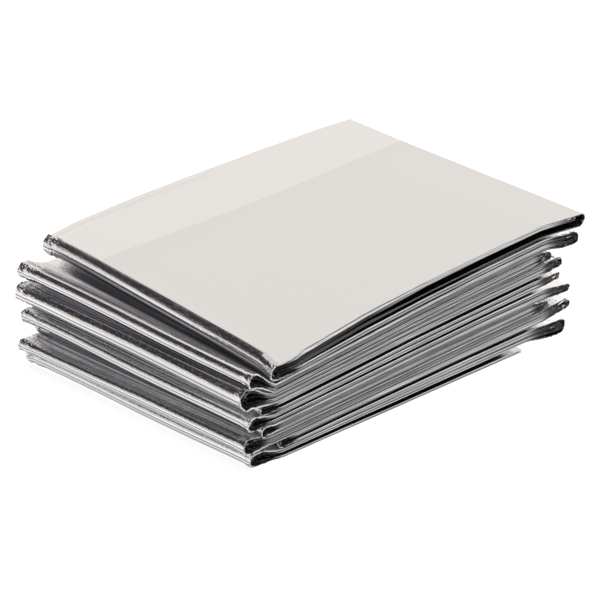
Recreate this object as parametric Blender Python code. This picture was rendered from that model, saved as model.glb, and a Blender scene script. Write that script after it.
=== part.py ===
"""Emergency foil blanket, folded into a pack: one metallised film sheet, gathered into a strip of many
layers and folded back and forth in eighteen panels. The strip is one solid ribbon that doubles back at
seventeen noses.

X runs along the panels, Y along the fold lines and Z up. The origin is under the middle of the pack, on the
surface that it lies on. The front is at -Y, and it shows the section of the folds. The tables and names below
give X from the middle of the bottom panels, PACK_MIDDLE_X to the left of the origin.
"""

import math

import bpy
from mathutils import Vector

MM = 0.001

# Driving dimensions of the strip and the pack, in metres
STRIP_WIDTH = 89.6 * MM
PACK_MIDDLE_X = 1.95 * MM
NOSE_SKIN = 1.0 * MM
LEAST_NOSE_HOLLOW = 0.33 * MM
PANEL_SHARE_OF_SLOT = 0.74
THINNEST_PANEL = 0.97 * MM
THICKEST_PANEL = 1.5 * MM
TOP_PANEL_SHARE_OF_SLOT = 0.86
TOP_PANEL_THICKEST = 4.1 * MM

# Where the stack height of each panel is stated: just behind the noses on either side
LEFT_NECK_X = -43.4 * MM
RIGHT_NECK_X = 45.3 * MM

# How much the stack stands up between the necks, at the front and at the back
SWELL_FRONT = 0.8 * MM
SWELL_BACK = 0.5 * MM
SWELL_SKEW = 0.75

# The two loose ends of the strip, both on the right: the bottom panel's under the pack and the top panel's
BOTTOM_END_X = 41.5 * MM
TOP_END_X = 66.1 * MM
LOOSE_END_ROUNDING = 0.5 * MM
LOOSE_END_PINCH = 0.55

# The top panel droops towards its loose end. Its nose on the left bows up between the front and the back
TOP_DROOP_X = 48.0 * MM
TOP_DROOP_FRONT = 1.2 * MM
TOP_DROOP_BACK = 0.4 * MM
TOP_NOSE_BOW = 0.7 * MM

# The springy lowest panel stands on three places: its two right-hand corners and, at a share of the way
# back, its left side. In between it clears the surface a little, half as much on the right as on the left
UNDERSIDE_LIFT = 0.12 * MM
LEFT_TOUCH = 0.6
RIGHT_LIFT_SHARE = 0.5

# Height taken up by each panel and the air over it, bottom panel first, at the four corners of the pack, mm
SLOT_COLUMNS = ("left_front", "left_back", "right_front", "right_back")
SLOTS = (
    (1.32, 1.35, 1.80, 1.80),
    (1.32, 1.35, 2.20, 2.30),
    (1.34, 1.40, 2.20, 2.30),
    (1.34, 1.40, 1.75, 1.85),
    (1.32, 1.45, 1.75, 1.85),
    (1.32, 1.45, 1.60, 1.70),
    (1.35, 1.70, 1.60, 1.70),
    (1.35, 1.70, 1.90, 2.00),
    (1.42, 1.80, 1.90, 2.00),
    (1.42, 1.80, 1.75, 1.85),
    (1.44, 2.00, 1.75, 1.85),
    (1.44, 2.00, 1.70, 1.90),
    (1.36, 2.10, 1.70, 1.90),
    (1.36, 2.10, 1.90, 2.05),
    (1.30, 2.15, 1.90, 2.05),
    (1.30, 2.15, 1.90, 2.20),
    (2.40, 3.60, 1.90, 2.20),
    (4.50, 5.00, 4.50, 4.90),
)

# Noses, bottom fold first: odd rows double back on the left and even rows on the right. In mm: how far the
# nose reaches along X at the front and the back, its middle height there, half its height there, and how far
# it tapers
NOSE_COLUMNS = ("tip_front", "tip_back", "z_front", "z_back", "half_front", "half_back", "taper")
NOSES = (
    (-59.4, -58.8, 2.60, 2.70, 1.85, 1.70, 12.0),
    (59.9, 59.5, 2.85, 2.90, 2.75, 2.60, 18.0),
    (-49.0, -50.5, 4.15, 4.28, 0.97, 1.05, 7.0),
    (61.3, 61.8, 9.00, 9.30, 1.85, 1.80, 13.0),
    (-61.6, -61.3, 6.95, 6.80, 1.75, 1.40, 10.0),
    (52.5, 53.5, 11.40, 11.90, 1.05, 1.10, 8.0),
    (-55.3, -55.0, 9.42, 10.10, 1.05, 1.30, 8.0),
    (60.7, 60.0, 14.00, 14.90, 1.50, 1.60, 12.0),
    (-59.7, -59.9, 12.60, 15.00, 1.85, 1.65, 9.0),
    (56.9, 58.0, 18.70, 19.70, 1.45, 1.50, 11.0),
    (-55.6, -55.2, 15.40, 17.70, 1.05, 1.30, 8.0),
    (57.9, 59.0, 22.50, 23.40, 1.85, 1.70, 10.0),
    (-62.2, -61.6, 20.05, 22.20, 2.50, 2.10, 12.0),
    (53.4, 55.0, 25.75, 26.90, 1.25, 1.20, 8.0),
    (-59.6, -59.8, 24.65, 28.10, 1.80, 1.75, 10.0),
    (63.8, 63.0, 27.95, 29.50, 2.20, 2.00, 14.3),
    (-51.9, -51.4, 25.20, 33.30, 2.95, 2.70, 12.0),
)

# How the film is sampled: points round half a nose, along each taper, along a panel, and stations along the
# folds
ARC_STEPS = 6
TAPER_STEPS = 3
PANEL_STEPS = 4
STATIONS_ALONG_FOLDS = (0.0, 0.03, 0.12, 0.35, 0.6, 0.85, 0.97, 1.0)

# Small unevenness of the folded edges
EDGE_STAGGER = 0.55 * MM
FRONT_EDGE_WAVE = (2.4, 0.7)
BACK_EDGE_WAVE = (1.7, 2.1)
NOSE_WANDER = 0.35 * MM
NOSE_WANDER_WAVE = (5.1, 2.3)
CREASE_ANGLE = math.radians(40.0)

FILM_COLOUR = (0.80, 0.79, 0.78, 1.0)
FILM_METALLIC = 1.0
FILM_ROUGHNESS = 0.22


def mix(low, high, share):
    return low + (high - low) * share


def smooth(share):
    share = clamp(share, 0.0, 1.0)
    return share * share * (3.0 - 2.0 * share)


def clamp(value, low, high):
    return min(high, max(low, value))


def wave(pace_and_start, place):
    """A gentle wave of height 1 for the unevenness of the folded edges."""
    pace, start = pace_and_start
    return math.sin(pace * place + start)


class Nose:
    """One fold of the strip at a share of the way from the front to the back."""

    def __init__(self, index, along):
        row = dict(zip(NOSE_COLUMNS, NOSES[index]))
        self.side = -1 if index % 2 == 0 else 1
        pace, step = NOSE_WANDER_WAVE
        wander = NOSE_WANDER * math.sin(math.pi * along) * wave((pace, step * index), along)
        self.tip = mix(row["tip_front"], row["tip_back"], along) * MM + self.side * wander
        self.z = mix(row["z_front"], row["z_back"], along) * MM
        if index == len(NOSES) - 1:
            self.z += TOP_NOSE_BOW * math.sin(math.pi * along)
        self.half = mix(row["half_front"], row["half_back"], along) * MM
        self.taper = row["taper"] * MM
        self.skin = min(NOSE_SKIN, self.half - LEAST_NOSE_HOLLOW)
        self.centre_x = self.tip - self.side * self.half

    def taper_share(self, x):
        """0 at the round end of the nose, 1 where the panels lie as in the rest of the stack."""
        behind = (self.centre_x - x) * self.side
        return smooth(behind / (self.taper - self.half))


class Stack:
    """The heights of all panels at a share of the way from the front to the back."""

    def __init__(self, along):
        self.along = along
        self.noses = [Nose(i, along) for i in range(len(NOSES))]
        self.left_levels = self.levels("left_front", "left_back")
        self.left_levels[-1] += TOP_NOSE_BOW * math.sin(math.pi * along)
        self.right_levels = self.levels("right_front", "right_back")

    def levels(self, front, back):
        """Heights of the slot bounds, from the surface upwards."""
        found = [0.0]
        for slot in SLOTS:
            row = dict(zip(SLOT_COLUMNS, slot))
            found.append(found[-1] + mix(row[front], row[back], self.along) * MM)
        return found

    def slot(self, panel, x):
        """(bottom, top) of a panel's slot."""
        share = clamp((x - LEFT_NECK_X) / (RIGHT_NECK_X - LEFT_NECK_X), 0.0, 1.0)
        bow = math.sin(math.pi * share ** SWELL_SKEW)
        swell = mix(SWELL_FRONT, SWELL_BACK, self.along) * bow
        bounds = []
        for level in (panel, panel + 1):
            height = mix(self.left_levels[level], self.right_levels[level], share)
            bounds.append(height * (1.0 + swell / self.left_levels[-1]))
        return bounds

    def thickness(self, panel, x):
        bottom, top = self.slot(panel, x)
        if panel == len(SLOTS) - 1:
            return min((top - bottom) * TOP_PANEL_SHARE_OF_SLOT, TOP_PANEL_THICKEST)
        return clamp((top - bottom) * PANEL_SHARE_OF_SLOT, THINNEST_PANEL, THICKEST_PANEL)

    def droop(self, x):
        """How far the top panel hangs below its slot, towards its loose end."""
        share = clamp((x - TOP_DROOP_X) / (TOP_END_X - TOP_DROOP_X), 0.0, 1.0)
        return share * mix(TOP_DROOP_FRONT, TOP_DROOP_BACK, self.along)

    def underside(self, x):
        """Height of the lowest face, which is nothing at the three places that it stands on."""
        share = clamp((x - LEFT_NECK_X) / (BOTTOM_END_X - LOOSE_END_ROUNDING - LEFT_NECK_X), 0.0, 1.0)
        at_left = ((self.along - LEFT_TOUCH) / LEFT_TOUCH) ** 2
        at_right = RIGHT_LIFT_SHARE * 4.0 * self.along * (1.0 - self.along)
        return UNDERSIDE_LIFT * mix(at_left, at_right, share)

    def base(self, panel, x):
        """(lower face, upper face) of a panel away from the noses."""
        bottom, top = self.slot(panel, x)
        thick = self.thickness(panel, x)
        if panel == 0:
            return self.underside(x), thick
        if panel == len(SLOTS) - 1:
            top -= self.droop(x)
            return top - thick, top
        middle = (bottom + top) / 2
        return middle - thick / 2, middle + thick / 2

    def faces(self, panel, x, nose_index):
        """(lower face, upper face) of a panel where it tapers into a nose."""
        nose = self.noses[nose_index]
        lower_panel, upper_panel = nose_index, nose_index + 1
        share = nose.taper_share(x)
        outer_low = self.base(lower_panel, x)[0]
        outer_high = self.base(upper_panel, x)[1]
        spine = mix(nose.z, (outer_low + outer_high) / 2, share)
        half = mix(nose.half, (outer_high - outer_low) / 2, share)
        thick = mix(nose.skin, self.thickness(panel, x), share)
        if panel == upper_panel:
            return spine + half - thick, spine + half
        return spine - half, spine - half + thick

    def panel_ends(self, panel):
        """(nose index on the left, nose index on the right or None where the strip ends there)."""
        below, above = panel - 1, panel
        left, right = (above, below) if panel % 2 == 0 else (below, above)
        return left, right if 0 <= right < len(NOSES) else None

    def loose_end(self, panel):
        """(x, height, thickness) of the rounded end of the bottom or the top panel."""
        x = BOTTOM_END_X if panel == 0 else TOP_END_X
        low, high = self.base(panel, x)
        return x, (low + high) / 2, (high - low) * LOOSE_END_PINCH

    def panel_points(self, panel):
        """[((x, lower z), (x, upper z))] from left to right, without the round ends of the noses."""
        left, right = self.panel_ends(panel)
        nose = self.noses[left]
        start = nose.tip + nose.taper
        if right is None:
            end = BOTTOM_END_X - LOOSE_END_ROUNDING if panel == 0 else TOP_DROOP_X
        else:
            end = self.noses[right].tip - self.noses[right].taper
        pairs = []
        for step in range(TAPER_STEPS):
            x = mix(nose.centre_x, start, step / TAPER_STEPS)
            low, high = self.faces(panel, x, left)
            pairs.append(((x, low), (x, high)))
        for step in range(PANEL_STEPS + 1):
            x = mix(start, end, step / PANEL_STEPS)
            low, high = self.base(panel, x)
            pairs.append(((x, low), (x, high)))
        if right is None:
            if panel > 0:
                x = TOP_END_X - LOOSE_END_ROUNDING
                low, high = self.base(panel, x)
                pairs.append(((x, low), (x, high)))
            x, middle, thick = self.loose_end(panel)
            pairs.append(((x, middle - thick / 2), (x, middle + thick / 2)))
            return pairs
        for step in range(1, TAPER_STEPS + 1):
            x = mix(end, self.noses[right].centre_x, step / TAPER_STEPS)
            low, high = self.faces(panel, x, right)
            pairs.append(((x, low), (x, high)))
        return pairs

    def nose_points(self, index):
        """[(inner (x, z), outer (x, z))] round a nose, from the lower panel to the upper one."""
        nose = self.noses[index]
        inner_half = nose.half - nose.skin
        pairs = []
        for step in range(1, ARC_STEPS):
            angle = math.pi * (step / ARC_STEPS - 0.5)
            across, rise = math.cos(angle) * nose.side, math.sin(angle)
            inner = (nose.centre_x + across * inner_half, nose.z + rise * inner_half)
            outer = (nose.centre_x + across * nose.half, nose.z + rise * nose.half)
            pairs.append((inner, outer))
        return pairs

    def ribbon(self):
        """The whole section, end to end: rows of (place along the strip, point left of travel, point right)."""
        path = []
        for panel in range(len(SLOTS)):
            pairs = self.panel_points(panel)
            if panel % 2 == 0:
                path += [(float(panel), low, high) for low, high in reversed(pairs)]
            else:
                path += [(float(panel), high, low) for low, high in pairs]
            if panel == len(NOSES):
                break
            for step, (inner, outer) in enumerate(self.nose_points(panel), 1):
                place = panel + step / ARC_STEPS
                path.append((place, outer, inner) if panel % 2 == 0 else (place, inner, outer))
        return path


def edge_place(place, along):
    """Y of a point of the strip: each panel's edges stand a little in or out of its neighbours'."""
    front = EDGE_STAGGER * wave(FRONT_EDGE_WAVE, place)
    back = EDGE_STAGGER * wave(BACK_EDGE_WAVE, place)
    return mix(-STRIP_WIDTH / 2 + front, STRIP_WIDTH / 2 + back, along)


def strip_mesh():
    """One closed ribbon: its two faces, the two long edges and the two loose ends, all in quads."""
    vertices = []
    rows = []
    for along in STATIONS_ALONG_FOLDS:
        path = Stack(along).ribbon()
        row = []
        for place, left, right in path:
            y = edge_place(place, along)
            row.append((len(vertices), len(vertices) + 1))
            vertices += [Vector((x - PACK_MIDDLE_X, y, z)) for x, z in (left, right)]
        rows.append(row)
    faces = []
    length = len(rows[0])
    for near, far in zip(rows, rows[1:]):
        for i in range(length - 1):
            faces.append((near[i][0], near[i + 1][0], far[i + 1][0], far[i][0]))
            faces.append((near[i][1], far[i][1], far[i + 1][1], near[i + 1][1]))
        faces.append((near[0][1], near[0][0], far[0][0], far[0][1]))
        faces.append((near[-1][0], near[-1][1], far[-1][1], far[-1][0]))
    front, back = rows[0], rows[-1]
    for i in range(length - 1):
        faces.append((front[i][0], front[i][1], front[i + 1][1], front[i + 1][0]))
        faces.append((back[i][1], back[i][0], back[i + 1][0], back[i + 1][1]))
    mesh = bpy.data.meshes.new("foil_blanket")
    mesh.from_pydata(vertices, [], faces)
    mesh.validate()
    return mesh


def film_material():
    material = bpy.data.materials.new("metallised_film")
    material.use_nodes = True
    shader = material.node_tree.nodes["Principled BSDF"]
    shader.inputs["Base Color"].default_value = FILM_COLOUR
    shader.inputs["Metallic"].default_value = FILM_METALLIC
    shader.inputs["Roughness"].default_value = FILM_ROUGHNESS
    return material


def main():
    for old in list(bpy.data.objects):
        bpy.data.objects.remove(old)
    mesh = strip_mesh()
    mesh.materials.append(film_material())
    mesh.shade_smooth()
    mesh.set_sharp_from_angle(angle=CREASE_ANGLE)
    blanket = bpy.data.objects.new("foil_blanket", mesh)
    bpy.context.scene.collection.objects.link(blanket)


main()
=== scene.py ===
"""Emergency foil blanket, folded: leaves of metallised film on the folds of the pack, on a white studio table."""
import math

import bmesh
import bpy
from mathutils import Matrix, Vector


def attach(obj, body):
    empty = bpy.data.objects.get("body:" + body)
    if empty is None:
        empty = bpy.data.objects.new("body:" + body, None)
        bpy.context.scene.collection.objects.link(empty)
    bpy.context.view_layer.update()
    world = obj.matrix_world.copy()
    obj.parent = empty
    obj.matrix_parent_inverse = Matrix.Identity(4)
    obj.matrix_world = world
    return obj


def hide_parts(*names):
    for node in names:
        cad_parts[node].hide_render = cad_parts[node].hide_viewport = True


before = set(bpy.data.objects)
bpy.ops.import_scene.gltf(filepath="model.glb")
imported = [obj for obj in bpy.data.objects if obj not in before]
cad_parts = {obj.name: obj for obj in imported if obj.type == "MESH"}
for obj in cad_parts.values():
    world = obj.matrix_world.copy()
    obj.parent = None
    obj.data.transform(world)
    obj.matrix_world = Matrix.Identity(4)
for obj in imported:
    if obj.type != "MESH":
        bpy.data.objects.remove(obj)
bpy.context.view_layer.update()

MM = 0.001

# The folds of the pack, as on the solid. Lengths are in mm, and the lowest panel comes first
STRIP_WIDTH = 89.6
PACK_MIDDLE_X = 1.95
NOSE_SKIN = 1.0
LEAST_NOSE_HOLLOW = 0.33
PANEL_SHARE_OF_SLOT = 0.74
THINNEST_PANEL = 0.97
THICKEST_PANEL = 1.5
TOP_PANEL_SHARE_OF_SLOT = 0.86
TOP_PANEL_THICKEST = 4.1
LEFT_NECK_X = -43.4
RIGHT_NECK_X = 45.3
SWELL = (0.8, 0.5)
SWELL_SKEW = 0.75
BOTTOM_END_X = 41.5
TOP_END_X = 66.1
TOP_DROOP_X = 48.0
TOP_DROOP = (1.2, 0.4)
TOP_NOSE_BOW = 0.7
NOSE_WANDER = 0.35
NOSE_WANDER_WAVE = (5.1, 2.3)

SLOT_COLUMNS = ("left_front", "left_back", "right_front", "right_back")
SLOTS = (
    (1.32, 1.35, 1.80, 1.80),
    (1.32, 1.35, 2.20, 2.30),
    (1.34, 1.40, 2.20, 2.30),
    (1.34, 1.40, 1.75, 1.85),
    (1.32, 1.45, 1.75, 1.85),
    (1.32, 1.45, 1.60, 1.70),
    (1.35, 1.70, 1.60, 1.70),
    (1.35, 1.70, 1.90, 2.00),
    (1.42, 1.80, 1.90, 2.00),
    (1.42, 1.80, 1.75, 1.85),
    (1.44, 2.00, 1.75, 1.85),
    (1.44, 2.00, 1.70, 1.90),
    (1.36, 2.10, 1.70, 1.90),
    (1.36, 2.10, 1.90, 2.05),
    (1.30, 2.15, 1.90, 2.05),
    (1.30, 2.15, 1.90, 2.20),
    (2.40, 3.60, 1.90, 2.20),
    (4.50, 5.00, 4.50, 4.90),
)
NOSE_COLUMNS = ("tip_front", "tip_back", "z_front", "z_back", "half_front", "half_back", "taper")
NOSES = (
    (-59.4, -58.8, 2.60, 2.70, 1.85, 1.70, 12.0),
    (59.9, 59.5, 2.85, 2.90, 2.75, 2.60, 18.0),
    (-49.0, -50.5, 4.15, 4.28, 0.97, 1.05, 7.0),
    (61.3, 61.8, 9.00, 9.30, 1.85, 1.80, 13.0),
    (-61.6, -61.3, 6.95, 6.80, 1.75, 1.40, 10.0),
    (52.5, 53.5, 11.40, 11.90, 1.05, 1.10, 8.0),
    (-55.3, -55.0, 9.42, 10.10, 1.05, 1.30, 8.0),
    (60.7, 60.0, 14.00, 14.90, 1.50, 1.60, 12.0),
    (-59.7, -59.9, 12.60, 15.00, 1.85, 1.65, 9.0),
    (56.9, 58.0, 18.70, 19.70, 1.45, 1.50, 11.0),
    (-55.6, -55.2, 15.40, 17.70, 1.05, 1.30, 8.0),
    (57.9, 59.0, 22.50, 23.40, 1.85, 1.70, 10.0),
    (-62.2, -61.6, 20.05, 22.20, 2.50, 2.10, 12.0),
    (53.4, 55.0, 25.75, 26.90, 1.25, 1.20, 8.0),
    (-59.6, -59.8, 24.65, 28.10, 1.80, 1.75, 10.0),
    (63.8, 63.0, 27.95, 29.50, 2.20, 2.00, 14.3),
    (-51.9, -51.4, 25.20, 33.30, 2.95, 2.70, 12.0),
)
TOP_PANEL = len(SLOTS) - 1

# The leaves of film that the strip is gathered from, in shares of a panel's thickness from the left of the strip's
# travel: where a leaf begins and ends in a panel, how much of a nose's hollow it takes up on the left and the
# right, and where it begins and ends in the sprung top panel at its left and right. Then in mm how far its cut
# edges stand back, and where their wave starts
LEAF_COLUMNS = (
    "low", "high", "into_left", "into_right",
    "top_left_low", "top_left_high", "top_right_low", "top_right_high",
    "edge_depth", "edge_wave",
)
LEAVES = (
    (-0.13, 0.20, 0.00, 1.00, 0.00, 0.06, 0.00, 0.06, 0.00, 0.3),
    (0.22, 0.44, 0.20, 0.60, 0.11, 0.36, 0.09, 0.17, 0.10, 1.9),
    (0.46, 0.66, 0.60, 0.20, 0.43, 0.64, 0.19, 0.36, 0.10, 3.2),
    (0.69, 0.94, 1.00, 0.00, 0.68, 0.95, 0.85, 0.93, 0.00, 4.6),
)

# Where each leaf begins and ends round a left nose, in the same shares
LEFT_NOSE_BOUNDS = ((0.00, 0.44), (0.50, 0.64), (0.70, 0.82), (0.88, 1.00))

# How pale each leaf's cut edges are: the edges' own grey, painted darker as shade inside the noses and between the
# panels and paler as painted light on the outer leaves. In the lower and the upper panel round a right nose, at the
# left and the right noses, and in the top panel at its left and right
SHADE_COLUMNS = ("lower", "upper", "left_nose", "right_nose", "top_left", "top_right")
SHADES = (
    (0.82, 0.66, 1.00, 0.05, 1.00, 1.00),
    (0.90, 0.64, 0.07, 0.09, 0.95, 1.00),
    (0.94, 0.74, 0.04, 0.05, 0.04, 0.78),
    (0.35, 1.00, 0.03, 0.20, 0.10, 0.24),
)
HOLLOW_SHARE = 0.55

# The top panel: between which places its leaves spread and their cut edges change shade, how far the inner leaves
# stop short of its end, the outer leaf's way back under it, and the height and x over which its corners dip
TOP_SPREAD_X = (-30.0, 6.0)
TOP_SHADE_X = (-10.0, 8.0)
TOP_END_SHRINK = 2.2
RETURN_SHARES = (0.93, 1.0)
RETURN_LENGTH = 40.0
RETURN_STEPS = 6
RETURN_SHADE = 0.25
TOP_DIP_HEIGHTS = (22.2, 28.2)
TOP_DIP_X = (-28.0, -51.0)

# How far along the strip, in panels, the lowest leaf is held level with the table
LOWEST_FOLD = 0.5

# Long creases beside the left noses, where the plies pull: how far they stand up or down
PULL_CREASE = 0.085

# The end of a ply shows as a line of painted shade along each left nose, a little higher or lower round it
PLY_WANDER = 0.02
PLY_WANDER_PACE = 2.3

# The cut edges stand back and forth along the strip, in mm and as (pace, start)
EDGE_STAGGER = 0.45
FRONT_EDGE_WAVE = (2.4, 0.7)
BACK_EDGE_WAVE = (1.7, 2.1)

# Ribs pressed into the left noses by the plies under the outer leaf: where round the nose, and how high
RIBS = ((0.20, 0.16), (0.36, 0.07))
RIB_WIDTH = 0.045

ARC_STEPS = 20
TAPER_STEPS = 13
PANEL_STEPS = 4
DROOP_STEPS = 5
STATIONS = 44


def mix(low, high, share):
    return low + (high - low) * share


def clamp(value, low, high):
    return min(high, max(low, value))


def smooth(share):
    share = clamp(share, 0.0, 1.0)
    return share * share * (3.0 - 2.0 * share)


def wave(pace_and_start, place):
    pace, start = pace_and_start
    return math.sin(pace * place + start)


class Nose:
    """One fold of the strip, at a share of the way from the front to the back."""

    def __init__(self, index, along):
        row = dict(zip(NOSE_COLUMNS, NOSES[index]))
        self.side = -1 if index % 2 == 0 else 1
        self.tip = mix(row["tip_front"], row["tip_back"], along)
        self.z = mix(row["z_front"], row["z_back"], along)
        if index == len(NOSES) - 1:
            self.z += TOP_NOSE_BOW * math.sin(math.pi * along)
        self.half = mix(row["half_front"], row["half_back"], along)
        self.taper = row["taper"]
        self.skin = min(NOSE_SKIN, self.half - LEAST_NOSE_HOLLOW)
        self.centre_x = self.tip - self.side * self.half

    def taper_share(self, x):
        """0 at the round end of the nose, 1 where the panels lie as in the rest of the stack."""
        return smooth((self.centre_x - x) * self.side / (self.taper - self.half))


class Stack:
    """The section of the folds at a share of the way from the front to the back, in mm."""

    def __init__(self, along):
        self.along = along
        self.noses = [Nose(i, along) for i in range(len(NOSES))]
        self.left_levels = self.levels("left_front", "left_back")
        self.left_levels[-1] += TOP_NOSE_BOW * math.sin(math.pi * along)
        self.right_levels = self.levels("right_front", "right_back")

    def levels(self, front, back):
        found = [0.0]
        for slot in SLOTS:
            row = dict(zip(SLOT_COLUMNS, slot))
            found.append(found[-1] + mix(row[front], row[back], self.along))
        return found

    def slot(self, panel, x):
        share = clamp((x - LEFT_NECK_X) / (RIGHT_NECK_X - LEFT_NECK_X), 0.0, 1.0)
        bow = math.sin(math.pi * share ** SWELL_SKEW)
        swell = mix(*SWELL, self.along) * bow
        bounds = []
        for level in (panel, panel + 1):
            height = mix(self.left_levels[level], self.right_levels[level], share)
            bounds.append(height * (1.0 + swell / self.left_levels[-1]))
        return bounds

    def base(self, panel, x):
        """(lower face, upper face) of a panel away from the noses."""
        bottom, top = self.slot(panel, x)
        if panel == TOP_PANEL:
            thick = min((top - bottom) * TOP_PANEL_SHARE_OF_SLOT, TOP_PANEL_THICKEST)
            droop = clamp((x - TOP_DROOP_X) / (TOP_END_X - TOP_DROOP_X), 0.0, 1.0)
            top -= droop * mix(*TOP_DROOP, self.along)
            return top - thick, top
        thick = clamp((top - bottom) * PANEL_SHARE_OF_SLOT, THINNEST_PANEL, THICKEST_PANEL)
        if panel == 0:
            return 0.0, thick
        middle = (bottom + top) / 2
        return middle - thick / 2, middle + thick / 2

    def faces(self, panel, x, nose_index):
        """(lower face, upper face) of a panel where it tapers into a nose."""
        nose = self.noses[nose_index]
        share = nose.taper_share(x)
        outer_low = self.base(nose_index, x)[0]
        outer_high = self.base(nose_index + 1, x)[1]
        spine = mix(nose.z, (outer_low + outer_high) / 2, share)
        half = mix(nose.half, (outer_high - outer_low) / 2, share)
        own_low, own_high = self.base(panel, x)
        thick = mix(nose.skin, own_high - own_low, share)
        if panel == nose_index + 1:
            return spine + half - thick, spine + half
        return spine - half, spine - half + thick

    def top_end(self):
        """(centre x, middle height, half height) of the round right-hand end of the top panel."""
        low, high = self.base(TOP_PANEL, TOP_END_X)
        half = (high - low) / 2
        low, high = self.base(TOP_PANEL, TOP_END_X - half)
        return TOP_END_X - half, (low + high) / 2, half

    def panel_points(self, panel):
        """[(x, lower z, upper z, how near to a nose from 0 to 1)] from left to right."""
        below, above = panel - 1, panel
        left, right = (above, below) if panel % 2 == 0 else (below, above)
        nose = self.noses[left]
        start = nose.tip + nose.taper
        if panel == 0:
            end = BOTTOM_END_X
        elif panel == TOP_PANEL:
            end = TOP_DROOP_X
        else:
            end = self.noses[right].tip - self.noses[right].taper
        rows = []
        for step in range(TAPER_STEPS):
            x = mix(nose.centre_x, start, step / TAPER_STEPS)
            rows.append((x, *self.faces(panel, x, left), step / TAPER_STEPS - 1.0))
        for step in range(PANEL_STEPS + 1):
            x = mix(start, end, step / PANEL_STEPS)
            rows.append((x, *self.base(panel, x), 0.0))
        if panel == 0:
            return rows
        if panel == TOP_PANEL:
            last = self.top_end()[0]
            for step in range(1, DROOP_STEPS + 1):
                x = mix(end, last, step / DROOP_STEPS)
                rows.append((x, *self.base(panel, x), step / DROOP_STEPS))
            return rows
        for step in range(1, TAPER_STEPS + 1):
            x = mix(end, self.noses[right].centre_x, step / TAPER_STEPS)
            rows.append((x, *self.faces(panel, x, right), step / TAPER_STEPS))
        return rows

    def ribbon(self):
        """The strip end to end: rows of (place, left point, right point, reach, nose number).

        The reach is -1 at a nose on the left, 1 at one on the right and 0 in between.
        """
        path = []
        for panel in range(len(SLOTS)):
            rows = self.panel_points(panel)
            if panel % 2 == 0:
                rows.reverse()
            for number, (x, low, high, reach) in enumerate(rows):
                late = number > len(rows) / 2
                owner = clamp(panel if late else panel - 1, 0, len(NOSES) - 1)
                points = ((x, low), (x, high)) if panel % 2 == 0 else ((x, high), (x, low))
                path.append((float(panel), *points, reach, owner))
            if panel == TOP_PANEL:
                break
            path += self.nose_rows(panel)
        return path

    def nose_rows(self, index):
        """The round end of a nose, from the lower panel to the upper one."""
        nose = self.noses[index]
        inner_half = nose.half - nose.skin
        rows = []
        for step in range(1, ARC_STEPS):
            share = step / ARC_STEPS
            angle = math.pi * (share - 0.5)
            across, rise = math.cos(angle) * nose.side, math.sin(angle)
            reach = nose.half
            if nose.side < 0:
                reach += sum(high * math.exp(-(((share - at) / RIB_WIDTH) ** 2)) for at, high in RIBS)
            inner = (nose.centre_x + across * inner_half, nose.z + rise * inner_half)
            outer = (nose.centre_x + across * reach, nose.z + rise * reach)
            points = (outer, inner) if index % 2 == 0 else (inner, outer)
            rows.append((index + share, *points, float(nose.side), index))
        return rows


# Node trees, with maths on sockets written as expressions
class Wire:
    """A number that runs along a socket. Its operators add Math nodes."""

    def __init__(self, board, socket):
        self.board = board
        self.socket = socket

    def maths(self, operation, *others):
        return self.board.node("ShaderNodeMath", {"operation": operation}, self, *others)

    def __add__(self, other):
        return self.maths("ADD", other)

    def __sub__(self, other):
        return self.maths("SUBTRACT", other)

    def __mul__(self, other):
        return self.maths("MULTIPLY", other)

    def __truediv__(self, other):
        return self.maths("DIVIDE", other)

    def __mod__(self, other):
        return self.maths("FLOORED_MODULO", other)

    def __pow__(self, other):
        return self.maths("POWER", other)

    __radd__ = __add__
    __rmul__ = __mul__

    def __rsub__(self, other):
        return self.board.node("ShaderNodeMath", {"operation": "SUBTRACT"}, other, self)

    def __gt__(self, other):
        return self.maths("GREATER_THAN", other)

    def __lt__(self, other):
        return self.maths("LESS_THAN", other)


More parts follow.
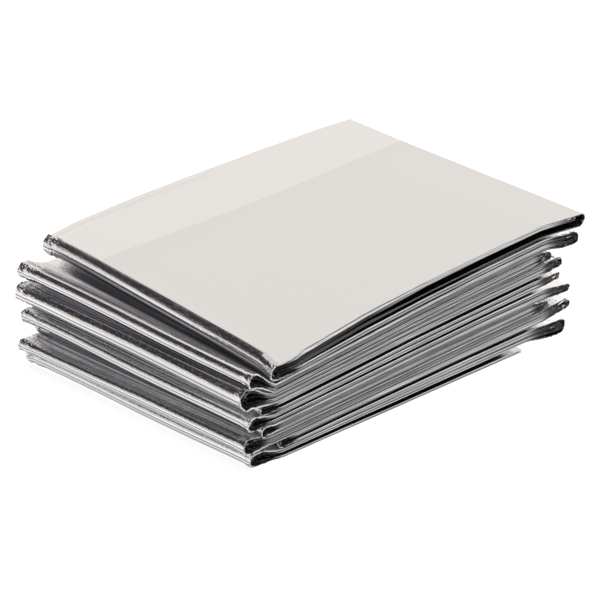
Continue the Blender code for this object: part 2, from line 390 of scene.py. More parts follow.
class Board:
    """A node tree and the ways to add to it."""

    def __init__(self, tree):
        self.tree = tree

    def node(self, kind, settings=None, *values, out=0, **named):
        """One node: its settings first, then the values or wires of its sockets, in order or by name."""
        made = self.tree.nodes.new(kind)
        for name, setting in (settings or {}).items():
            if name == "stops":
                ramp = made.color_ramp
                while len(ramp.elements) < len(setting):
                    ramp.elements.new(0.5)
                for stop, (place, colour) in zip(ramp.elements, setting):
                    stop.position, stop.color = place, colour
            else:
                setattr(made, name, setting)
        sockets = dict(enumerate(values))
        sockets.update({name.replace("_", " "): value for name, value in named.items()})
        for key, value in sockets.items():
            if value is None:
                continue
            if kind == "ShaderNodeMath":
                socket = made.inputs[key]
            elif isinstance(key, int):
                socket = [s for s in made.inputs if s.enabled][key]
            else:
                socket = next(s for s in made.inputs if s.name == key and s.enabled)
            if isinstance(value, Wire):
                self.tree.links.new(value.socket, socket)
            else:
                socket.default_value = value
        outs = [s for s in made.outputs if s.enabled]
        if isinstance(out, str):
            return Wire(self, next(s for s in outs if s.name == out))
        return Wire(self, outs[out]) if outs else made

    def step(self, wire, low, high):
        """0 below low, 1 above high, smooth between them."""
        settings = {"interpolation_type": "SMOOTHSTEP"}
        return self.node("ShaderNodeMapRange", settings, wire, low, high, 0.0, 1.0)

    def sine(self, wire):
        return wire.maths("SINE")

    def larger(self, wire, other):
        return wire.maths("MAXIMUM", other)

    def smaller(self, wire, other):
        return wire.maths("MINIMUM", other)

    def between(self, wire, low, high, soft):
        """1 from low to high, 0 outside, with soft edges."""
        return self.step(wire, low - soft, low + soft) * (1.0 - self.step(wire, high - soft, high + soft))

    def colours(self, share, first, second):
        """A colour between two, by a share."""
        return self.node("ShaderNodeMix", {"data_type": "RGBA"}, Factor=share, A=first, B=second)

    def vectors(self, operation, first, second=None):
        return self.node("ShaderNodeVectorMath", {"operation": operation}, first, second)

    def scaled(self, vector, scale):
        return self.node("ShaderNodeVectorMath", {"operation": "SCALE"}, Vector=vector, Scale=scale)

    def vector(self, x=0.0, y=0.0, z=0.0):
        return self.node("ShaderNodeCombineXYZ", None, x, y, z)


# The film's colours
FILM_TINT = (0.80, 0.795, 0.80, 1.0)
# The film on the top, painted darker all over as shade
TOP_SHADED_TINT = (0.745, 0.742, 0.742, 1.0)
# The strip along the back of the top, painted lighter as painted light
STRIP_LIT_TINT = (0.800, 0.796, 0.794, 1.0)
SHADE_TINT = (0.66, 0.655, 0.65, 1.0)
# Painted shade in the creases on the top
CREASE_SHADE_TINT = (0.55, 0.55, 0.55, 1.0)
PLY_LIGHT = (0.055, 0.053, 0.062, 1.0)
NO_LIGHT = (0.0, 0.0, 0.0, 1.0)
# The film near the right noses, painted whiter as painted light
RIGHT_SIDE_LIT_TINT = (0.97, 0.97, 0.98, 1.0)
# Painted shade in the streak lines and at the ply ends by the left noses
LINE_SHADE_TINT = (0.10, 0.10, 0.115, 1.0)
# Cut edges run from painted shade at the dark end to painted light at the pale end, which also holds the edges' own
# grey
CUT_EDGE_DARK = (0.012, 0.012, 0.014, 1.0)
CUT_EDGE_PALE = (0.86, 0.855, 0.86, 1.0)

# The strip along the back of the top, painted lighter as painted light, in mm: where its edge lies, how it bows, and
# how far in front of it the film gets a little painted shade
STRIP_EDGE_Y = 20.05
STRIP_EDGE_BOW = 0.00105
STRIP_EDGE_MIDDLE_X = 6.0
STRIP_EDGE_SOFT = 0.12
STRIP_SHADE_REACH = 16.0
STRIP_SHADE = 0.10

# Two faint creases by the back edge of the top, painted darker as shade: slant, from and to in y, strength, and
# where they run in x
CREASES = ((0.010, 42.2, 42.5, 1.0), (0.022, 40.9, 41.2, 0.7))
CREASE_SOFT = 0.08
CREASE_X = (-52.0, 5.0)
CREASE_END_SOFT = 6.0
CREASE_SHADE = 0.6

# The ends of plies round a left nose, painted as lines of shade, in shares of the way round: from, to, soft edge,
# strength
PLY_LINES = ((0.465, 0.52, 0.012, 1.0), (0.05, 0.395, 0.015, 0.85))
PLY_LINE_SHADE = 0.85
# How dark the streak lines by the left noses are painted as shade: everywhere, and more in the recesses
LINE_SHADE = (0.22, 0.60)

# Where the film is crumpled, in mm: at both ends of the noses, and in the recesses at the back on the left
END_CRUMPLE_Y = (40.0, 44.5)
RECESS_CRUMPLE_Y = (32.0, 38.0)
RECESS_CRUMPLE_X = (36.0, 41.0)

# How high each kind of unevenness stands in the bump
STREAK_RISE = 0.9
NICK_RISE = 0.45
LINE_RISE = 0.5
END_CRUMPLE_RISE = 1.1
RECESS_CRUMPLE_RISE = 1.6
SWELL_RISE = 0.25
STRIP_RISE = 0.5
CREASE_FALL = 0.4
BUMP_STRENGTH = 0.5
BUMP_DEPTH = 0.1 * MM

# Sizes of the patterns
STREAK_SIZE = 1.6
LINE_SIZE = 1.15
LINE_DRIFT = 0.008
NICK_SCALE = (1500.0, 900.0, 1500.0)
CRUMPLE_SCALE = 1500.0
SWELL_SCALE = (60.0, 60.0, 60.0)
GRAIN_SCALE = (45.0, 45.0, 2600.0)
GLINT_SCALE = (700.0, 700.0, 1100.0)
TORN_SCALE = (1100.0, 1100.0, 1100.0)
PATTERN_ROUGHNESS = 0.6

# The cut edges: how pale between the grains, and how much of that torn bits and glints take or give
GRAIN_FLOOR = 0.55
TORN_SHARE = 0.8
GLINT_SHARE = 0.8

# How rough the film is, how much more so where streaky and at cut edges
ROUGHNESS = 0.11
STREAK_ROUGHNESS = 0.08
EDGE_ROUGHNESS = 0.36

# Between the left noses: where the recess lies in shares of the nearness to a nose, how much less like a mirror the
# film is there and in the speckles, and how the glow is shared between all of it and its lines
DEEP_SHARES = (0.10, 0.72)
DEEP_SOFT = 0.10
DEEP_DULLNESS = 0.45
SPECKLE_DULLNESS = 0.13
GLOW_SHARES = (0.25, 0.75)
GLOW_FROM_FRONT_Y = (-44.5, -40.0)


def new_material(name):
    material = bpy.data.materials.new(name)
    material.use_nodes = True
    material.node_tree.nodes.clear()
    return material, Board(material.node_tree)


def film_material():
    """Metallised film: like a mirror on its faces, grey and grainy on its cut edges, finely creased at the noses; with
    painted light and shade.
    """
    material, board = new_material("metallised_film")
    place = board.node("ShaderNodeTexCoord", None, out="Object")
    split = board.tree.nodes.new("ShaderNodeSeparateXYZ")
    board.tree.links.new(place.socket, split.inputs[0])
    x, y, _ = (Wire(board, socket) * 1000.0 for socket in split.outputs)

    def kept(name):
        return board.node("ShaderNodeAttribute", {"attribute_name": name}, out="Fac")

    def soft_noise(vector, size, detail):
        return board.node(
            "ShaderNodeTexNoise", None, Vector=vector, Scale=size, Detail=detail, Roughness=PATTERN_ROUGHNESS,
        )

    def stretched(scale):
        return board.node("ShaderNodeMapping", None, Vector=place, Scale=scale)

    def cells(vector, scale):
        return board.node(
            "ShaderNodeTexVoronoi", {"feature": "F1"}, out="Distance", Vector=vector, Scale=scale, Randomness=1.0,
        )

    near, cut, top = kept("near_nose"), kept("cut_edge"), kept("top_face")
    around, right, outer = kept("around"), kept("right_side"), kept("outer_leaf")
    low_film = 1.0 - top
    left_film = low_film * (1.0 - right)

    off_middle = x - STRIP_EDGE_MIDDLE_X
    beyond = y - (STRIP_EDGE_Y + STRIP_EDGE_BOW * off_middle * off_middle)
    strip = board.step(beyond, -STRIP_EDGE_SOFT, STRIP_EDGE_SOFT) * top
    shade = (1.0 - board.step(beyond * -1.0, 0.0, STRIP_SHADE_REACH)) * (1.0 - strip) * top
    crease = 0.0
    for slant, start, end, strength in CREASES:
        crease = board.between(y + slant * x, start, end, CREASE_SOFT) * strength + crease
    crease = crease * top * board.between(x, *CREASE_X, CREASE_END_SOFT)

    # Streaks and lines are drawn out along the folds
    on_strip = board.vector(kept("strip_length"), y * LINE_DRIFT, 0.0)
    streaks = soft_noise(on_strip, STREAK_SIZE, 4.0)
    lines = board.step(soft_noise(on_strip, LINE_SIZE, 2.0), 0.40, 0.60)
    nicks = cells(stretched(NICK_SCALE), 1.0)
    crumples = cells(place, CRUMPLE_SCALE)
    in_recess = near * (1.0 - near) * 4.0 * left_film
    at_end = board.step(y.maths("ABSOLUTE"), *END_CRUMPLE_Y)
    back_recess = board.step(y, *RECESS_CRUMPLE_Y) * board.step(x * -1.0, *RECESS_CRUMPLE_X) * left_film * (1.0 - cut)

    height = streaks * near * STREAK_RISE + nicks * near * NICK_RISE + lines * in_recess * LINE_RISE
    height = height + crumples * near * low_film * at_end * END_CRUMPLE_RISE
    height = height + soft_noise(stretched(SWELL_SCALE), 1.0, 3.0) * SWELL_RISE
    height = height + strip * STRIP_RISE - crease * CREASE_FALL
    height = height + crumples * back_recess * RECESS_CRUMPLE_RISE
    bump = board.node("ShaderNodeBump", None, Strength=BUMP_STRENGTH, Distance=BUMP_DEPTH, Height=height)

    # The top is painted darker as shade and lighter along its back strip as painted light, with painted shade in front
    # of the strip and in the creases
    tint = board.colours(strip, TOP_SHADED_TINT, STRIP_LIT_TINT)
    tint = board.colours(shade * STRIP_SHADE, tint, SHADE_TINT)
    tint = board.colours(crease * CREASE_SHADE, tint, CREASE_SHADE_TINT)
    tint = board.colours(low_film, tint, FILM_TINT)
    # The film near the right noses is painted whiter as painted light
    tint = board.colours(board.step(right, 0.0, 0.4) * low_film, tint, RIGHT_SIDE_LIT_TINT)
    # Painted shade along the streak lines by the left noses, deeper in the recesses, and along the ply ends
    everywhere, more_in_recess = LINE_SHADE
    lined = (1.0 - lines) * near * left_film * (everywhere + more_in_recess * in_recess)
    ply_line = 0.0
    for start, end, soft, strength in PLY_LINES:
        ply_line = board.between(around, start, end, soft) * strength + ply_line
    ply_line = ply_line * PLY_LINE_SHADE * (1.0 - right) * board.step(near, 0.8, 1.0)
    tint = board.colours(board.larger(lined, ply_line), tint, LINE_SHADE_TINT)

    grain = board.step(soft_noise(stretched(GRAIN_SCALE), 1.0, 3.0), 0.30, 0.72)
    glint = board.step(soft_noise(stretched(GLINT_SCALE), 1.0, 1.0), 0.62, 0.68) * board.step(right, 0.35, 0.8)
    torn = board.step(soft_noise(stretched(TORN_SCALE), 1.0, 1.0), 0.55, 0.62) * board.step(near, 0.5, 0.9)
    torn = torn * (1.0 - right)
    # Cut edges take their painted light and shade from edge_shade, and glints near the right noses are painted
    # highlights
    paleness = kept("edge_shade") * (GRAIN_FLOOR + (1.0 - GRAIN_FLOOR) * grain) * (1.0 - TORN_SHARE * torn)
    paleness = board.larger(paleness, glint * GLINT_SHARE)
    colour = board.colours(cut, tint, board.colours(paleness, CUT_EDGE_DARK, CUT_EDGE_PALE))
    rough = ROUGHNESS + STREAK_ROUGHNESS * streaks + EDGE_ROUGHNESS * cut

    deep = board.between(near, *DEEP_SHARES, DEEP_SOFT) * left_film * (1.0 - cut)
    speckle = (1.0 - board.step(nicks, 0.25, 0.45)) * near * left_film
    metal = 1.0 - board.larger(DEEP_DULLNESS * deep * outer, SPECKLE_DULLNESS * speckle)
    all_over, in_lines = GLOW_SHARES
    between_plies = deep * (all_over + in_lines * lines) * outer * board.step(y, *GLOW_FROM_FRONT_Y)
    glow = board.colours(between_plies, NO_LIGHT, PLY_LIGHT)
    shader = board.node(
        "ShaderNodeBsdfPrincipled", None, out="BSDF", Base_Color=colour, Metallic=metal, Roughness=rough, Normal=bump,
        Emission_Color=glow, Emission_Strength=1.0,
    )
    board.node("ShaderNodeOutputMaterial", None, Surface=shader)
    material.cycles.emission_sampling = "NONE"
    return material


# The leaves
def leaf_bounds(leaf, row, place, left, reach, hollow):
    """(low, high): the leaf's shares of the thickness from the left of travel, past 0 or 1 in a hollow."""
    near = smooth(abs(reach))
    into = row["into_left"] if reach < 0.0 else -row["into_right"]
    shift = into * HOLLOW_SHARE * hollow * near
    low, high = row["low"], row["high"]
    if reach < 0.0:
        nose_low, nose_high = LEFT_NOSE_BOUNDS[leaf]
        low, high = mix(low, nose_low, near), mix(high, nose_high, near)
    if place < LOWEST_FOLD:
        low = max(low, 0.0)
    if place >= TOP_PANEL:
        if reach > 0.0:
            shift, near = 0.0, 0.0
        start, end = TOP_SPREAD_X
        spread = smooth((left.x - start) / (end - start))
        own_low = mix(row["top_left_low"], row["top_right_low"], spread)
        own_high = mix(row["top_left_high"], row["top_right_high"], spread)
        low, high = mix(own_low, low, near), mix(own_high, high, near)
    return low + shift, high + shift


def edge_shade(leaf, place, x, reach):
    """How pale a leaf's cut edge is at a place along the strip: painted light and shade over the edge's own grey."""
    row = dict(zip(SHADE_COLUMNS, SHADES[leaf]))
    panel = row["lower"] if math.floor(place) % 2 else row["upper"]
    if place >= TOP_PANEL:
        start, end = TOP_SHADE_X
        panel = mix(row["top_left"], row["top_right"], smooth((x - start) / (end - start)))
        if reach > 0.0 and leaf > 0:
            panel = mix(panel, row["right_nose"], smooth(reach))
        return mix(panel, row["left_nose"], smooth(-reach))
    nose = row["left_nose"] if reach < 0.0 else row["right_nose"]
    return mix(panel, nose, smooth(abs(reach) * 2.0))


def corner_dip(place, point):
    """How much of the dip at the left-hand corners of the top a point takes."""
    low, high = TOP_DIP_HEIGHTS
    start, end = TOP_DIP_X
    if place < TOP_PANEL - 1:
        return 0.0
    return clamp((point[1] - low) / (high - low), 0.0, 1.0) * smooth((point[0] - start) / (end - start))


def share_round(place, reach, owner):
    """How far round a left nose a row lies: 0 on all panels under such a nose, 1 on all panels over one."""
    panel = math.floor(place)
    if place == panel:
        return float(panel % 2)
    share = place - panel
    if reach > 0.0:
        return 1.0 - share
    return share + PLY_WANDER * math.sin(PLY_WANDER_PACE * owner)


def pull_crease(leaf, owner, number, reach):
    """How far one row of a taper beside a left nose stands up or down."""
    if reach >= 0.0 or reach == -1.0:
        return 0.0
    turn = math.sin(number * 12.9898 + owner * 4.1414 + leaf) * 43758.5453
    rise = PULL_CREASE * (2.0 * (turn - math.floor(turn)) - 1.0)
    return rise * smooth(-reach * 2.5) * smooth((1.0 + reach) * 8.0)


def leaf_section(leaf, along):
    """A leaf's section at a share of the way to the back.

    Rows of (right-hand point, left-hand point, y, reach, nose, top, shade of the cut edge, share of the corners'
    dip, how far round a left nose).
    """
    row, first = (dict(zip(LEAF_COLUMNS, LEAVES[number])) for number in (leaf, 0))
    stack = Stack(along)
    section = []

    def edge(place):
        on_top = clamp(place - TOP_PANEL + 1.0, 0.0, 1.0)
        shifted = place + mix(row["edge_wave"], first["edge_wave"], on_top)
        depth = row["edge_depth"] * (1.0 - on_top)
        if along == 0.0:
            return -STRIP_WIDTH / 2 + EDGE_STAGGER * wave(FRONT_EDGE_WAVE, shifted) + depth
        return STRIP_WIDTH / 2 + EDGE_STAGGER * wave(BACK_EDGE_WAVE, shifted) - depth

    for place, left, right, reach, owner in stack.ribbon():
        left, right = Vector(left), Vector(right)
        nose = stack.noses[owner]
        hollow = (nose.half - nose.skin) / (left - right).length
        low, high = leaf_bounds(leaf, row, place, left, reach, hollow)
        right_point, left_point = left.lerp(right, high), left.lerp(right, low)
        rise = Vector((0.0, 0.0 if place >= TOP_PANEL else pull_crease(leaf, owner, len(section), reach)))
        right_point, left_point = right_point + rise, left_point + rise
        if leaf > 0 and place >= TOP_PANEL and reach > 0.0:
            pull = Vector((TOP_END_SHRINK * reach * reach, 0.0))
            right_point, left_point = right_point - pull, left_point - pull
        shade = edge_shade(leaf, place, left.x, reach)
        dip = corner_dip(place, left)
        around = share_round(place, reach, owner)
        top = float(place >= TOP_PANEL)
        section.append((right_point, left_point, edge(place), reach, owner, top, shade, dip, around))
    if leaf == 0:
        section += top_return(stack, section[-1], edge)
    return section


def top_return(stack, last, edge):
    """The top leaf's own fold at the right: round the end of the top panel and some way back under it."""
    centre_x, middle, half = stack.top_end()
    skin = (last[0] - last[1]).length
    rows = []
    for step in range(1, ARC_STEPS):
        share = step / ARC_STEPS
        angle = math.pi * (0.5 - share)
        spot = Vector((math.cos(angle), math.sin(angle)))
        centre = Vector((centre_x, middle))
        inner, outer = centre + spot * (half - skin), centre + spot * half
        y, shade = edge(TOP_PANEL + share), mix(1.0, RETURN_SHADE, share)
        rows.append((inner, outer, y, 1.0, len(NOSES), 1.0 - share, shade, 0.0, 0.0))
    for step in range(RETURN_STEPS + 1):
        share = step / RETURN_STEPS
        x = centre_x - RETURN_LENGTH * share
        low, high = stack.base(TOP_PANEL, x)
        inner, outer = (mix(high, low, bound) for bound in RETURN_SHARES)
        inner, outer = Vector((x, inner)), Vector((x, outer))
        y = edge(TOP_PANEL + 1.0)
        rows.append((inner, outer, y, 1.0 - share, len(NOSES), 0.0, RETURN_SHADE, 0.0, 0.0))
    return rows


def strip_lengths(section):
    """How far each row lies along the strip, in mm."""
    middles = [(row[0] + row[1]) / 2 for row in section]
    lengths = [0.0]
    for before, after in zip(middles, middles[1:]):
        lengths.append(lengths[-1] + (after - before).length)
    return lengths


def placed(point, y):
    return Vector((point[0] - PACK_MIDDLE_X, y, point[1])) * MM


def section_mesh(name, leaf, front, middle, back):
    """The leaf's front section as a line of points that carry what the sweep needs."""
    mesh = bpy.data.meshes.new(name)
    mesh.from_pydata([placed(row[0], row[2]) for row in front], [(i, i + 1) for i in range(len(front) - 1)], [])
    vectors = {
        "to_back": [placed(far[0], far[2]) - placed(near[0], near[2]) for near, far in zip(front, back)],
        "to_middle": [
            placed(half_way[0], 0.0) - (placed(near[0], 0.0) + placed(far[0], 0.0)) / 2
            for near, half_way, far in zip(front, middle, back)
        ],
        "skin_front": [placed(row[1], 0.0) - placed(row[0], 0.0) for row in front],
        "skin_back": [placed(row[1], 0.0) - placed(row[0], 0.0) for row in back],
    }
    _, step = NOSE_WANDER_WAVE
    numbers = {
        "reach": [row[3] for row in front],
        "phase": [step * row[4] for row in front],
        "top_face": [row[5] for row in front],
        "edge_shade": [row[6] for row in front],
        "dip": [row[7] for row in front],
        "around": [row[8] for row in front],
        "strip_length": strip_lengths(front),
        "outer_leaf": [float(leaf == 0)] * len(front),
    }
    for title, values in vectors.items():
        layer = mesh.attributes.new(title, "FLOAT_VECTOR", "POINT")
        layer.data.foreach_set("vector", [number for value in values for number in value])
    for title, values in numbers.items():
        layer = mesh.attributes.new(title, "FLOAT", "POINT")
        layer.data.foreach_set("value", values)
    return mesh


def add_input(tree, name, kind, value=None):
    socket = tree.interface.new_socket(name=name, in_out="INPUT", socket_type=kind)
    if value is not None:
        socket.default_value = value
    return socket.identifier


# The sweep, in shares of the way from the front to the back: how much its stations crowd at the ends, where the
# corners dip and where the noses crumple
STATION_CROWDING = 0.11
CORNER_FROM = 0.94
BACK_CRUMPLE_ALONG = (0.90, 0.99)
FRONT_CRUMPLE_FROM = 0.955
FRONT_CRUMPLE_SHARE = 0.8
SHARP_ANGLE = 0.8


def sweep_tree():
    """Sweeps a section line from the front to the back as a closed leaf of film, with its ripples and crumples."""
    tree = bpy.data.node_groups.new("sweep_film_leaf", "GeometryNodeTree")
    ids = {
        "Geometry": add_input(tree, "Geometry", "NodeSocketGeometry"),
        "Stations": add_input(tree, "Stations", "NodeSocketInt", STATIONS),
        "Ripple Height": add_input(tree, "Ripple Height", "NodeSocketFloat", 0.00022),
        "Ripple Scale": add_input(tree, "Ripple Scale", "NodeSocketFloat", 60.0),
        "Crumple Height": add_input(tree, "Crumple Height", "NodeSocketFloat", 0.00075),
        "Crumple Scale": add_input(tree, "Crumple Scale", "NodeSocketFloat", 520.0),
        "Edge Unevenness": add_input(tree, "Edge Unevenness", "NodeSocketFloat", 0.0006),
        "Front Dip": add_input(tree, "Front Dip", "NodeSocketFloat", 0.0013),
        "Back Dip": add_input(tree, "Back Dip", "NodeSocketFloat", 0.0008),
        "Seed": add_input(tree, "Seed", "NodeSocketFloat", 0.0),
        "Film": add_input(tree, "Film", "NodeSocketMaterial"),
    }
    tree.interface.new_socket(name="Geometry", in_out="OUTPUT", socket_type="NodeSocketGeometry")
    board = Board(tree)
    given = tree.nodes.new("NodeGroupInput")

    def asked(name):
        return Wire(board, given.outputs[name])

    def sampled(value, kind):
        return board.node(
            "GeometryNodeSampleIndex", {"data_type": kind, "domain": "POINT"}, Geometry=asked("Geometry"), Value=value,
            Index=point_number,
        )

    def carried(name, kind="FLOAT_VECTOR"):
        value = board.node("GeometryNodeInputNamedAttribute", {"data_type": kind}, Name=name, out="Attribute")
        return sampled(value, kind)

    def stored(geometry, name, value, kind="FLOAT", domain="POINT", selection=None):
        return board.node(
            "GeometryNodeStoreNamedAttribute", {"data_type": kind, "domain": domain}, Geometry=geometry, Name=name,
            Value=value, Selection=selection,
        )

    def noise(scale, detail, vector):
        return board.node(
            "ShaderNodeTexNoise", {"noise_dimensions": "4D"}, Vector=vector, W=asked("Seed"), Scale=scale,
            Detail=detail, out="Color",
        )

    count = board.node("GeometryNodeAttributeDomainSize", None, Geometry=asked("Geometry"), out="Point Count")
    grid = board.node("GeometryNodeMeshGrid", None, out="Mesh", Vertices_X=asked("Stations"), Vertices_Y=count)
    index = board.node("GeometryNodeInputIndex")
    point_number = index % count
    station = (index / count).maths("FLOOR") / (asked("Stations") - 1.0)
    along = station - STATION_CROWDING * board.sine(station * (2.0 * math.pi))
    place = board.vectors(
        "ADD", sampled(board.node("GeometryNodeInputPosition"), "FLOAT_VECTOR"), board.scaled(carried("to_back"), along)
    )
    place = board.vectors("ADD", place, board.scaled(carried("to_middle"), board.sine(along * math.pi)))
    skin = board.vectors(
        "ADD", board.scaled(carried("skin_front"), 1.0 - along), board.scaled(carried("skin_back"), along)
    )
    reach = carried("reach", "FLOAT")
    near_nose = reach.maths("ABSOLUTE")
    pace, _ = NOSE_WANDER_WAVE
    wander = board.sine(along * math.pi) * board.sine(along * pace + carried("phase", "FLOAT"))
    at_corner = board.step(1.0 - along, CORNER_FROM, 1.0) * asked("Front Dip")
    at_corner = at_corner + board.step(along, CORNER_FROM, 1.0) * asked("Back Dip")
    sink = carried("dip", "FLOAT") * at_corner
    shift = board.vector(reach * near_nose * wander * (NOSE_WANDER * MM), 0.0, sink * -1.0)

    # Slow ripples all over, and crumples at the back ends of the left noses and the front ends of all noses
    ripple = board.vectors("SUBTRACT", noise(asked("Ripple Scale"), 2.0, place), (0.5, 0.5, 0.5))
    ripple = board.scaled(ripple, asked("Ripple Height"))
    ripple = board.scaled(ripple, 0.25 + 0.75 * near_nose)
    facets = board.node(
        "ShaderNodeTexVoronoi", {"feature": "F1", "voronoi_dimensions": "4D"}, Vector=place, W=asked("Seed"),
        Scale=asked("Crumple Scale"), Detail=1.0, out="Distance",
    )
    at_back = board.step(along, *BACK_CRUMPLE_ALONG) * board.step(reach * -1.0, 0.25, 0.9)
    at_front = board.step(1.0 - along, FRONT_CRUMPLE_FROM, 1.0) * board.step(near_nose, 0.3, 0.9) * FRONT_CRUMPLE_SHARE
    creased = board.larger(at_back, at_front) * (1.0 - carried("top_face", "FLOAT"))
    crumple = board.scaled(board.vectors("NORMALIZE", skin), (facets - 0.45) * creased * asked("Crumple Height"))
    rough_edge = (along * 2.0 - 1.0).maths("ABSOLUTE") ** 14.0
    frayed = board.node(
        "ShaderNodeTexNoise", {"noise_dimensions": "4D"}, Vector=place, W=asked("Seed"), Scale=700.0, Detail=1.0,
        out="Fac",
    )
    fray = board.vector(0.0, (frayed - 0.5) * rough_edge * asked("Edge Unevenness"), 0.0)
    moved = board.vectors("ADD", board.vectors("ADD", place, shift), board.vectors("ADD", ripple, crumple))
    moved = board.vectors("ADD", moved, fray)

    sheet = board.node("GeometryNodeSetPosition", None, Geometry=grid, Position=moved)
    sheet = stored(sheet, "skin", skin, "FLOAT_VECTOR")
    sheet = stored(sheet, "near_nose", near_nose)
    sheet = stored(sheet, "top_face", carried("top_face", "FLOAT"))
    sheet = stored(sheet, "edge_shade", carried("edge_shade", "FLOAT"))
    sheet = stored(sheet, "around", carried("around", "FLOAT"))
    sheet = stored(sheet, "strip_length", carried("strip_length", "FLOAT"))
    sheet = stored(sheet, "outer_leaf", carried("outer_leaf", "FLOAT"))
    sheet = stored(sheet, "right_side", board.larger(reach, 0.0))
    extrude = tree.nodes.new("GeometryNodeExtrudeMesh")
    extrude.mode = "FACES"
    tree.links.new(sheet.socket, extrude.inputs["Mesh"])
    extrude.inputs["Offset Scale"].default_value = 0.0
    extrude.inputs["Individual"].default_value = False
    kept_skin = board.node("GeometryNodeInputNamedAttribute", {"data_type": "FLOAT_VECTOR"}, Name="skin", out="Attribute")
    upper = stored(
        Wire(board, extrude.outputs["Mesh"]), "cut_edge", 1.0, "FLOAT", "FACE", Wire(board, extrude.outputs["Side"])
    )
    upper = board.node(
        "GeometryNodeSetPosition", None, Geometry=upper, Selection=Wire(board, extrude.outputs["Top"]), Offset=kept_skin,
    )
    under = board.node("GeometryNodeFlipFaces", None, Mesh=sheet)
    join = tree.nodes.new("GeometryNodeJoinGeometry")
    tree.links.new(under.socket, join.inputs[0])
    tree.links.new(upper.socket, join.inputs[0])
    leaf = board.node("GeometryNodeMergeByDistance", None, Geometry=Wire(board, join.outputs[0]), Distance=1e-7)
    angle = board.node("GeometryNodeInputMeshEdgeAngle", None, out="Unsigned Angle")
    leaf = board.node(
        "GeometryNodeSetShadeSmooth", {"domain": "EDGE"}, Geometry=leaf, Selection=angle > SHARP_ANGLE,
        Shade_Smooth=False,
    )
    leaf = board.node("GeometryNodeRealizeInstances", None, Geometry=leaf)
    leaf = board.node("GeometryNodeSetMaterial", None, Geometry=leaf, Material=asked("Film"))
    out = tree.nodes.new("NodeGroupOutput")
    tree.links.new(leaf.socket, out.inputs[0])
    return tree, ids


def made_plain(name, mesh, tree, ids, sizes):
    """The swept object as a plain mesh with its faces pointing out."""
    source = bpy.data.objects.new(name + "_line", mesh)
    bpy.context.scene.collection.objects.link(source)
    modifier = source.modifiers.new("sweep", "NODES")
    modifier.node_group = tree
    for title, value in sizes.items():
        modifier[ids[title]] = value
    ready = source.evaluated_get(bpy.context.evaluated_depsgraph_get())
    plain = bpy.data.meshes.new_from_object(ready)
    plain.name = name
    bpy.data.objects.remove(source)
    work = bmesh.new()
    work.from_mesh(plain)
    if work.calc_volume(signed=True) < 0.0:
        bmesh.ops.reverse_faces(work, faces=work.faces)
    work.to_mesh(plain)
    work.free()
    piece = bpy.data.objects.new(name, plain)
    bpy.context.scene.collection.objects.link(piece)
    return piece


def film_leaves(film):
    tree, ids = sweep_tree()
    pieces = []
    for leaf in range(len(LEAVES)):
        name = f"film_leaf_{leaf + 1}"
        front, middle, back = (leaf_section(leaf, along) for along in (0.0, 0.5, 1.0))
        sizes = {"Seed": 3.7 * leaf, "Film": film}
        piece = made_plain(name, section_mesh(name, leaf, front, middle, back), tree, ids, sizes)
        pieces.append((piece, (strip_lengths(front)[-1] + strip_lengths(back)[-1]) / 2))
    return pieces


# The studio
FLOOR_HALF = 6.0
LENS = 192.0
SENSOR = 36.0
CAMERA_PITCH = math.radians(23.998)
CAMERA_ROLL = math.radians(0.578)
CAMERA_HEADING = math.radians(46.407)
CAMERA_TARGET = (0.87, 3.75, 18.86)
CAMERA_DISTANCE = 868.96


def add_camera():
    """The camera looks along its heading and down by its pitch. The target is given to the right, down and up."""
    ahead = Vector((math.cos(CAMERA_HEADING), math.sin(CAMERA_HEADING), 0.0))
    right = Vector((math.sin(CAMERA_HEADING), -math.cos(CAMERA_HEADING), 0.0))
    up = Vector((0.0, 0.0, 1.0))
    look = math.cos(CAMERA_PITCH) * ahead - math.sin(CAMERA_PITCH) * up
    down = -(math.sin(CAMERA_PITCH) * ahead + math.cos(CAMERA_PITCH) * up)
    to_right, to_down, height = CAMERA_TARGET
    target = Vector((-PACK_MIDDLE_X, 0.0, height)) + to_right * right + to_down * down
    place = (target - CAMERA_DISTANCE * look) * MM
    image_right = math.cos(CAMERA_ROLL) * right + math.sin(CAMERA_ROLL) * down
    image_down = -math.sin(CAMERA_ROLL) * right + math.cos(CAMERA_ROLL) * down
    turn = Matrix((image_right, -image_down, -look)).transposed().to_4x4()
    data = bpy.data.cameras.new("studio_camera")
    data.lens, data.sensor_width = LENS, SENSOR
    data.clip_start, data.clip_end = 0.02, 50.0
    camera = bpy.data.objects.new("studio_camera", data)
    camera.matrix_world = Matrix.Translation(place) @ turn
    bpy.context.scene.collection.objects.link(camera)
    bpy.context.scene.camera = camera


def add_floor():
    mesh = bpy.data.meshes.new("studio_table")
    h = FLOOR_HALF
    mesh.from_pydata([(-h, -h, 0), (h, -h, 0), (h, h, 0), (-h, h, 0)], [], [(0, 1, 2, 3)])
    material, board = new_material("table_paper")
    shader = board.node(
        "ShaderNodeBsdfPrincipled", None, out="BSDF", Base_Color=(0.55, 0.55, 0.55, 1.0), Roughness=0.9,
        Specular_IOR_Level=0.1, Emission_Color=(1.0, 1.0, 1.0, 1.0), Emission_Strength=0.76,
    )
    board.node("ShaderNodeOutputMaterial", None, Surface=shader)
    mesh.materials.append(material)
    floor = bpy.data.objects.new("studio_table", mesh)
    bpy.context.scene.collection.objects.link(floor)


def add_lights():
    """A broad soft sun lights the table only. The film shows the room round it."""
    data = bpy.data.lights.new("table_light", "SUN")
    data.energy = 1.0
    data.angle = math.radians(70.0)
    light = bpy.data.objects.new("table_light", data)
    light.rotation_euler = (math.radians(12.0), math.radians(-14.0), 0.0)
    light.visible_glossy = False
    bpy.context.scene.collection.objects.link(light)


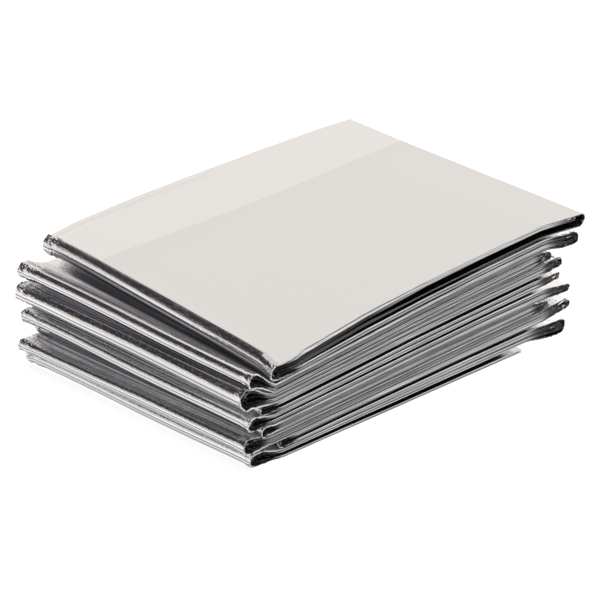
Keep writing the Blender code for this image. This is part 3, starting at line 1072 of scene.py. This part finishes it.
# What the film reflects, in degrees of bearing from the back (+Y) to the right, and of rise
BACKDROP_BEARING = (18.0, 125.0)
BACKDROP_RISE = (-24.0, -16.0)
LOW_WALL_BEARING = (-115.0, 18.0)
LOW_WALL_RISE = (17.0, 22.0)
HORIZON_RISE = (6.0, 10.0)
OVERHEAD_RISE = (60.0, 70.0)
SOFT_BEARING = 3.0
LOW_WALL_LIGHT = 0.92
HORIZON_LIGHT = 0.9
ROOM_DARK = (0.045, 0.042, 0.048, 1.0)
ROOM_BRIGHT = (0.985, 0.943, 0.900, 1.0)
WHITE = (1.0, 1.0, 1.0, 1.0)


def add_room():
    """The room that the film reflects: a bright pale backdrop behind the pack, and the dark studio round it."""
    world = bpy.data.worlds.new("studio_room")
    bpy.context.scene.world = world
    world.use_nodes = True
    world.node_tree.nodes.clear()
    board = Board(world.node_tree)
    ray = board.node("ShaderNodeTexCoord", None, out="Generated")
    split = board.tree.nodes.new("ShaderNodeSeparateXYZ")
    board.tree.links.new(ray.socket, split.inputs[0])
    x, y, z = (Wire(board, socket) for socket in split.outputs)
    bearing = x.maths("ARCTAN2", y) * (180.0 / math.pi)
    rise = z.maths("ARCSINE") * (180.0 / math.pi)
    backdrop = board.between(bearing, *BACKDROP_BEARING, SOFT_BEARING) * board.step(rise, *BACKDROP_RISE)
    low_wall = board.between(bearing, *LOW_WALL_BEARING, SOFT_BEARING) * (1.0 - board.step(rise, *LOW_WALL_RISE))
    horizon = 1.0 - board.step(rise, *HORIZON_RISE)
    bright = board.larger(backdrop, board.larger(low_wall * LOW_WALL_LIGHT, horizon * HORIZON_LIGHT))
    bright = board.larger(bright, board.step(rise, *OVERHEAD_RISE))
    colour = board.colours(bright, ROOM_DARK, ROOM_BRIGHT)
    seen = board.node("ShaderNodeLightPath", None, out="Is Camera Ray")
    colour = board.colours(seen, colour, WHITE)
    shine = board.node("ShaderNodeBackground", None, Color=colour, Strength=1.0)
    board.node("ShaderNodeOutputWorld", None, Surface=shine)


def main():
    bpy.context.scene.view_settings.view_transform = "Standard"
    bpy.context.scene.render.film_transparent = False
    film = film_material()
    leaves = film_leaves(film)
    for piece, length in leaves:
        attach(piece, "root")
        length * MM
    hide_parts("foil_blanket")
    add_floor()
    add_lights()
    add_room()
    add_camera()


main()
